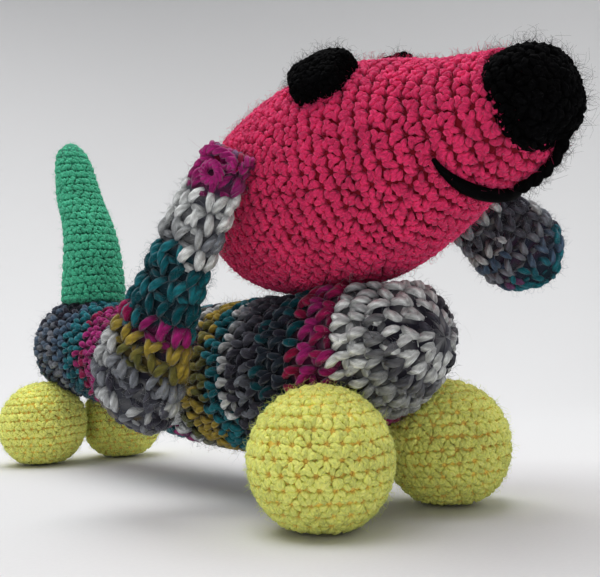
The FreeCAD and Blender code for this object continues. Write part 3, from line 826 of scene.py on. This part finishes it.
def dog_ears():
    # share of the length from the sewn edge, share of the width, share of the depth
    rows = smooth([(.025, .48, .45), (.08, .55, .62), (.20, .61, .78), (.35, .645, .84), (.50, .72, .88),
                   (.65, .88, .95), (.80, 1.02, 1), (.90, .93, .95), (.965, .66, .80), (1, .30, .45)])
    length, half_width, half_depth = 90.0, 17.6, 6.8
    right_bands = [(11, [MAGENTA, MAUVE, MAGENTA]), (31, [WHITE, WHITE, SILVER, GREY, WHITE]),
                   (53, [TEAL, TEAL, DEEP_TEAL]), (58, [MAGENTA, CRIMSON, MAGENTA]),
                   (67, [OLIVE, OCHRE, CHARCOAL, OCHRE]), (84, [SILVER, WHITE, CHARCOAL, GREY]),
                   (200, [CHARCOAL, GREY, OCHRE, SILVER])]
    left_bands = [(22, [TEAL, MAGENTA, TEAL]), (42, [TEAL, TEAL, DEEP_TEAL]), (50, [SILVER, WHITE, SILVER]),
                  (68, [SILVER, GREY, CHARCOAL, GREY]), (80, [SLATE, GREY, CHARCOAL, MAUVE]),
                  (200, [TEAL, SLATE, SLATE])]
    for side, bow, bands in (("right", 2.0, right_bands), ("left", 5.0, left_bands)):
        base, across, out, down = ear_axes(side)
        h = rows[:, 0]
        shift = half_depth * rows[:, 2] - 1.0 + 4 * bow * h * (1 - h)
        rings = np.column_stack([h * length, rows[:, 1] * half_width, rows[:, 2] * half_depth, 0 * h, shift])
        form = Form(rings, place_at(base, np.column_stack([across, out, down])))
        pick = striping(form, bands, run=3.0, jitter=1.6)
        strands = Strands()
        open_crochet(strands, form, pick)
        piece = riding(strands, side + "_ear_knit", "variegated_yarn", side + "_ear")
        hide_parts(side + "_ear")
        hair = Strands()
        fuzz(hair, form, 2600, 3.5, pick, radius=0.045)
        fuzz(hair, form, 200, 6.5, pick)
        riding(hair, side + "_ear_fuzz", "variegated_yarn", side + "_ear")


def black_piece(name, form, node, stitch, hair_count, hair_length):
    """A crocheted black piece sewn onto the head, with its fibres. stitch: its width and its row height."""
    pick = plain(BLACK, 0.2)
    strands = Strands()
    tight_crochet(strands, form, *stitch, pick, BLACK_PAINTED_SHADE, plump=0.23, proud=0.8, loose=0.35, hole=0.10)
    fuzz(strands, form, hair_count, hair_length, pick, radius=0.035, lift=0.8, stand=0.7)
    piece = riding(strands, name, "black_yarn", "head")
    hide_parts(node)


def on_head(along, radius, degrees, tilt):
    """A place on the head's side, at degrees round it, facing out and tilted towards the snout."""
    spin = place_at((0, 0, along), turn_about("Z", 180 - degrees))
    out = place_at((radius, 0, 0), turn_about("Y", 90 - tilt))
    return HEAD_AT @ spin @ out


def dog_eyes():
    for side, degrees, phase in (("right", 56.0, 0.4), ("left", 127.0, 1.3)):
        rows = smooth([(-0.8, .98), (1.2, 1.03), (4.2, .98), (6.4, .76), (7.4, .38)], 60)

        def uneven(angle, phase=phase):
            return 1 + 0.07 * np.cos(5 * angle + phase) + 0.03 * np.cos(3 * angle)

        form = Form(round_rings(rows, 1.0, 9.6), on_head(71.6, 30.9, degrees, 15.0), uneven)
        black_piece(side + "_eye_knit", form, side + "_eye", (3.6, 3.0), 700, 3.6)


def dog_nose():
    rows = smooth([(-1.5, .80), (1.6, 1.0), (4.0, 1.06), (7.5, 1.01), (11.0, .92), (13.8, .66),
                   (14.9, .34)], 80)
    zero = 0 * rows[:, 0]
    rings = np.column_stack([rows[:, 0], rows[:, 1] * 13.2, rows[:, 1] * 13.0, zero, zero - 0.4])
    place = HEAD_AT @ place_at((0, 1.4, 117.5), turn_about("X", -9))
    # degrees round the nose, and how far out it reaches there: a rounded triangle
    corners = np.array([(0, 1.04), (30, 1.13), (60, 1.0), (90, .90), (120, 1.0), (150, 1.13), (178, 1.12),
                        (205, 1.16), (228, 1.24), (250, 1.06), (275, 1.0), (320, .98), (360, 1.04)])
    form = Form(rings, place, lambda angle: np.interp(np.degrees(angle) % 360, corners[:, 0], corners[:, 1]))
    black_piece("nose_knit", form, "nose", (4.8, 4.2), 1100, 5.0)


def thick_yarn(strands, path, normal, radius, taper, twist, colour):
    """Two plies wound round each other along a path, with twist turns, or one smooth strand if twist is 0."""
    n = len(path)
    t = np.linspace(0, 1, n)
    along = np.gradient(path, axis=0)
    along /= np.linalg.norm(along, axis=1, keepdims=True)
    side = np.cross(along, normal)
    side /= np.linalg.norm(side, axis=1, keepdims=True)
    over = np.cross(side, along)
    size = radius * np.clip(np.minimum(taper[0] + t * 3.2, taper[1] + (1 - t) * 3.2), 0.12, 1)
    if not twist:
        strands.tubes(path[None], size[None], np.tile(colour, (1, n, 1)), sides=10, up=normal[None])
        return
    for phase in (0.0, math.pi):
        angle = 2 * math.pi * twist * t + phase
        aside = side * np.cos(angle)[:, None] + over * np.sin(angle)[:, None]
        wound = path + aside * (size * 0.48)[:, None]
        strands.tubes(wound[None], (size * 0.66)[None], np.tile(colour, (1, n, 1)), sides=8, up=normal[None])


def mouth_path(name):
    """Points and outward normals of the smile or of the stitch from nose to smile, in the head's frame."""
    if name == "smile":
        a = np.radians(np.linspace(-161, -21, 46))
        out = np.stack([np.cos(a), np.sin(a), 0 * a], 1)
        along = 108.8 - 6.2 * np.abs(np.cos(a)) ** 1.5
        rings = head_form().rings
        reach = np.interp(along, rings[:, 0], rings[:, 1]) + 0.9
        spot = out * reach[:, None] + np.array([0, 0, 1.0]) * along[:, None]
    else:
        a = np.radians(np.linspace(-90, -22, 26))
        out = np.stack([0 * a, np.sin(a), np.cos(a)], 1)
        spot = out * 19.4 + np.array([0, 0, 112.0])
    return spot @ HEAD_AT[:3, :3].T + HEAD_AT[:3, 3], out @ HEAD_AT[:3, :3].T


def dog_mouth():
    hair_count = 320
    for name, radius, taper, twist in (("smile", 1.9, (0.3, 0.3), 0), ("philtrum", 1.6, (1.0, 1.0), 3)):
        path, normal = mouth_path(name)
        strands = Strands()
        thick_yarn(strands, path, normal, radius, taper, twist, BLACK)
        pick = rng.integers(2, len(path) - 2, hair_count)
        root = path[pick] + normal[pick] * 0.8
        hairs(strands, root, normal[pick], 4.2, np.tile(BLACK, (hair_count, 1)), 0.045)
        piece = riding(strands, name + "_strand", "black_yarn", "head")
        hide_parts(name + "_yarn")


def ear_sewing():
    """The coiled end of yarn and the stitches that hold each ear on."""
    for side in EAR_PLACES:
        base, across, out, down = ear_axes(side)
        strands = Strands()
        points = 40
        t = np.linspace(0, 1, points)
        for turns, wide, high, lift, drop in ((1.5, 3.7, 3.1, 1.5, 6.0), (1.1, 7.4, 2.6, 0.0, 1.5)):
            a = 2 * np.pi * turns * t + 0.6
            shrink = 1.0 - 0.35 * t
            path = (base + across[None] * (wide * shrink * np.cos(a))[:, None]
                    + down[None] * (drop + high * shrink * np.sin(a))[:, None]
                    + out[None] * (lift + 5.2 + 1.4 * t)[:, None])
            thick_yarn(strands, path, np.repeat(out[None], points, 0), 1.55, (0.4, 0.4), 6 * turns, MAGENTA)
        points = 12
        a = np.linspace(-0.5, math.pi + 0.3, points)
        for k in range(7):
            x = (k - 3) * 2.3
            path = (base + across * x + down[None] * (2.2 - 3.6 * np.sin(a))[:, None]
                    + out[None] * (1.6 + 3.0 * np.cos(a))[:, None]
                    + across[None] * (0.8 * np.cos(a))[:, None])
            colour = (MAGENTA, MAUVE, CRIMSON)[k % 3]
            thick_yarn(strands, path, np.repeat(-down[None], points, 0), 1.5, (0.5, 0.5), 2, colour)
        piece = strands.build(side + "_ear_sewing", YARNS["variegated_yarn"])
        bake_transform(piece)
        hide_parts(side + "_ear_seam")


dog_body()
dog_head()
dog_eyes()
dog_nose()
dog_mouth()
ear_sewing()
dog_feet()
dog_tail()
dog_ears()
for node in frame["nodes"]:
    if node.endswith("_stuffing"):
        dress(node, STUFFING)
dress("neck_knot", fibre_material("neck_thread", PINK))
dress("tail_knot", fibre_material("tail_thread", JADE))


# ---------------------------------------------------------------- floor, light and camera

def studio_floor():
    """A pale floor that curves up into a wall all round, nearest behind the toy as the camera sees it."""
    behind, around = math.radians(41.25), 96
    near, far = 0.42, 1.37              # the flat's radius behind and in front, m
    curve, top = 1.3, 3.2               # the radius that it curves up with and the wall's height, m
    # share of the flat's radius, distance beyond it, height
    steps = [(k / 6, 0.0, 0.0) for k in range(1, 7)]
    for a in np.linspace(0, math.pi / 2, 33)[1:]:
        steps.append((1.0, curve * math.sin(a), curve * (1 - math.cos(a))))
    steps.append((1.0, curve, top))
    verts, faces = [(0.0, 0.0, 0.0)], []
    for share, out, up in steps:
        for k in range(around):
            a = 2 * math.pi * k / around
            away = abs((a - behind + math.pi) % (2 * math.pi) - math.pi)
            # from 25 to 85 degrees away from straight behind, the flat widens
            t = min(max((away - math.radians(25)) / math.radians(60), 0), 1)
            d = share * (near + (far - near) * t * t * (3 - 2 * t)) + out
            verts.append((d * math.sin(a), d * math.cos(a), up))
    for k in range(around):
        faces.append((0, 1 + (k + 1) % around, 1 + k))
        for row in range(len(steps) - 1):
            low, high = 1 + row * around, 1 + (row + 1) * around
            faces.append((low + k, low + (k + 1) % around, high + (k + 1) % around, high + k))
    mesh = bpy.data.meshes.new("sweep")
    mesh.from_pydata(verts, [], faces)
    mesh.polygons.foreach_set("use_smooth", [True] * len(faces))
    material, tree, shader = nodes_of("sweep_card")
    mottled(tree, noise_node(tree, 900.0), shader, (0.72, 0.72, 0.725), (0.76, 0.76, 0.765))
    shader.inputs["Roughness"].default_value = 0.9
    shader.inputs["Specular IOR Level"].default_value = 0.1
    mesh.materials.append(material)
    floor = bpy.data.objects.new("sweep", mesh)
    bpy.context.scene.collection.objects.link(floor)


def direction(way):
    """A rotation that points an object's -Z along way, upright."""
    back = -unit(way)
    right = unit(np.cross((0, 0, 1), back))
    over = np.cross(back, right)
    return Matrix([[*row] for row in np.column_stack([right, over, back])]).to_4x4()


def area_light(name, spot, target, size, power):
    """A rectangular light at spot, in metres, that faces target."""
    light = bpy.data.lights.new(name, "AREA")
    light.shape = "RECTANGLE"
    light.size, light.size_y = size
    light.energy = power
    lamp = bpy.data.objects.new(name, light)
    bpy.context.scene.collection.objects.link(lamp)
    lamp.matrix_world = Matrix.Translation(spot) @ direction(np.array(target) - np.array(spot))


def studio_light():
    world = bpy.data.worlds.new("studio")
    world.use_nodes = True
    sky = world.node_tree.nodes["Background"]
    sky.inputs["Color"].default_value = (0.97, 0.98, 1.0, 1)
    sky.inputs["Strength"].default_value = 0.28
    bpy.context.scene.world = world
    area_light("key", (-0.15, 0.25, 1.4), (0.0, 0.0, 0.0), (1.4, 1.4), 23.0)
    area_light("fill", (-1.2, -1.0, 0.45), (0.0, 0.0, 0.05), (1.2, 0.7), 1.6)
    area_light("right", (1.2, -0.5, 1.0), (0.0, 0.0, 0.08), (1.0, 1.0), 3.0)
    area_light("backdrop", (0.55, 0.62, 1.7), (1.25, 1.45, 1.1), (1.6, 0.8), 0.8)


def photo_camera():
    """The camera low in front of the toy and to its right, tipped up a little."""
    yaw, pitch, roll = -0.719953, 0.104700, -0.018489
    forward = np.array([-math.sin(yaw) * math.cos(pitch), math.cos(yaw) * math.cos(pitch), math.sin(pitch)])
    level = np.array([math.cos(yaw), math.sin(yaw), 0.0])
    above = np.cross(level, forward)
    right = level * math.cos(roll) + above * math.sin(roll)
    over = -level * math.sin(roll) + above * math.cos(roll)
    data = bpy.data.cameras.new("camera")
    data.sensor_fit = "HORIZONTAL"
    data.sensor_width = 36.0
    data.lens = 44.83
    data.clip_start = 0.01
    camera = bpy.data.objects.new("camera", data)
    bpy.context.scene.collection.objects.link(camera)
    place = np.eye(4)
    place[:3, :3] = np.column_stack([right, over, -forward])
    place[:3, 3] = ((MID - 168.53) * MM, (FRONT - 153.52) * MM, 44.23 * MM)
    camera.matrix_world = Matrix(place.tolist())
    bpy.context.scene.camera = camera


studio_floor()
studio_light()
photo_camera()
bpy.context.scene.view_settings.view_transform = "Standard"
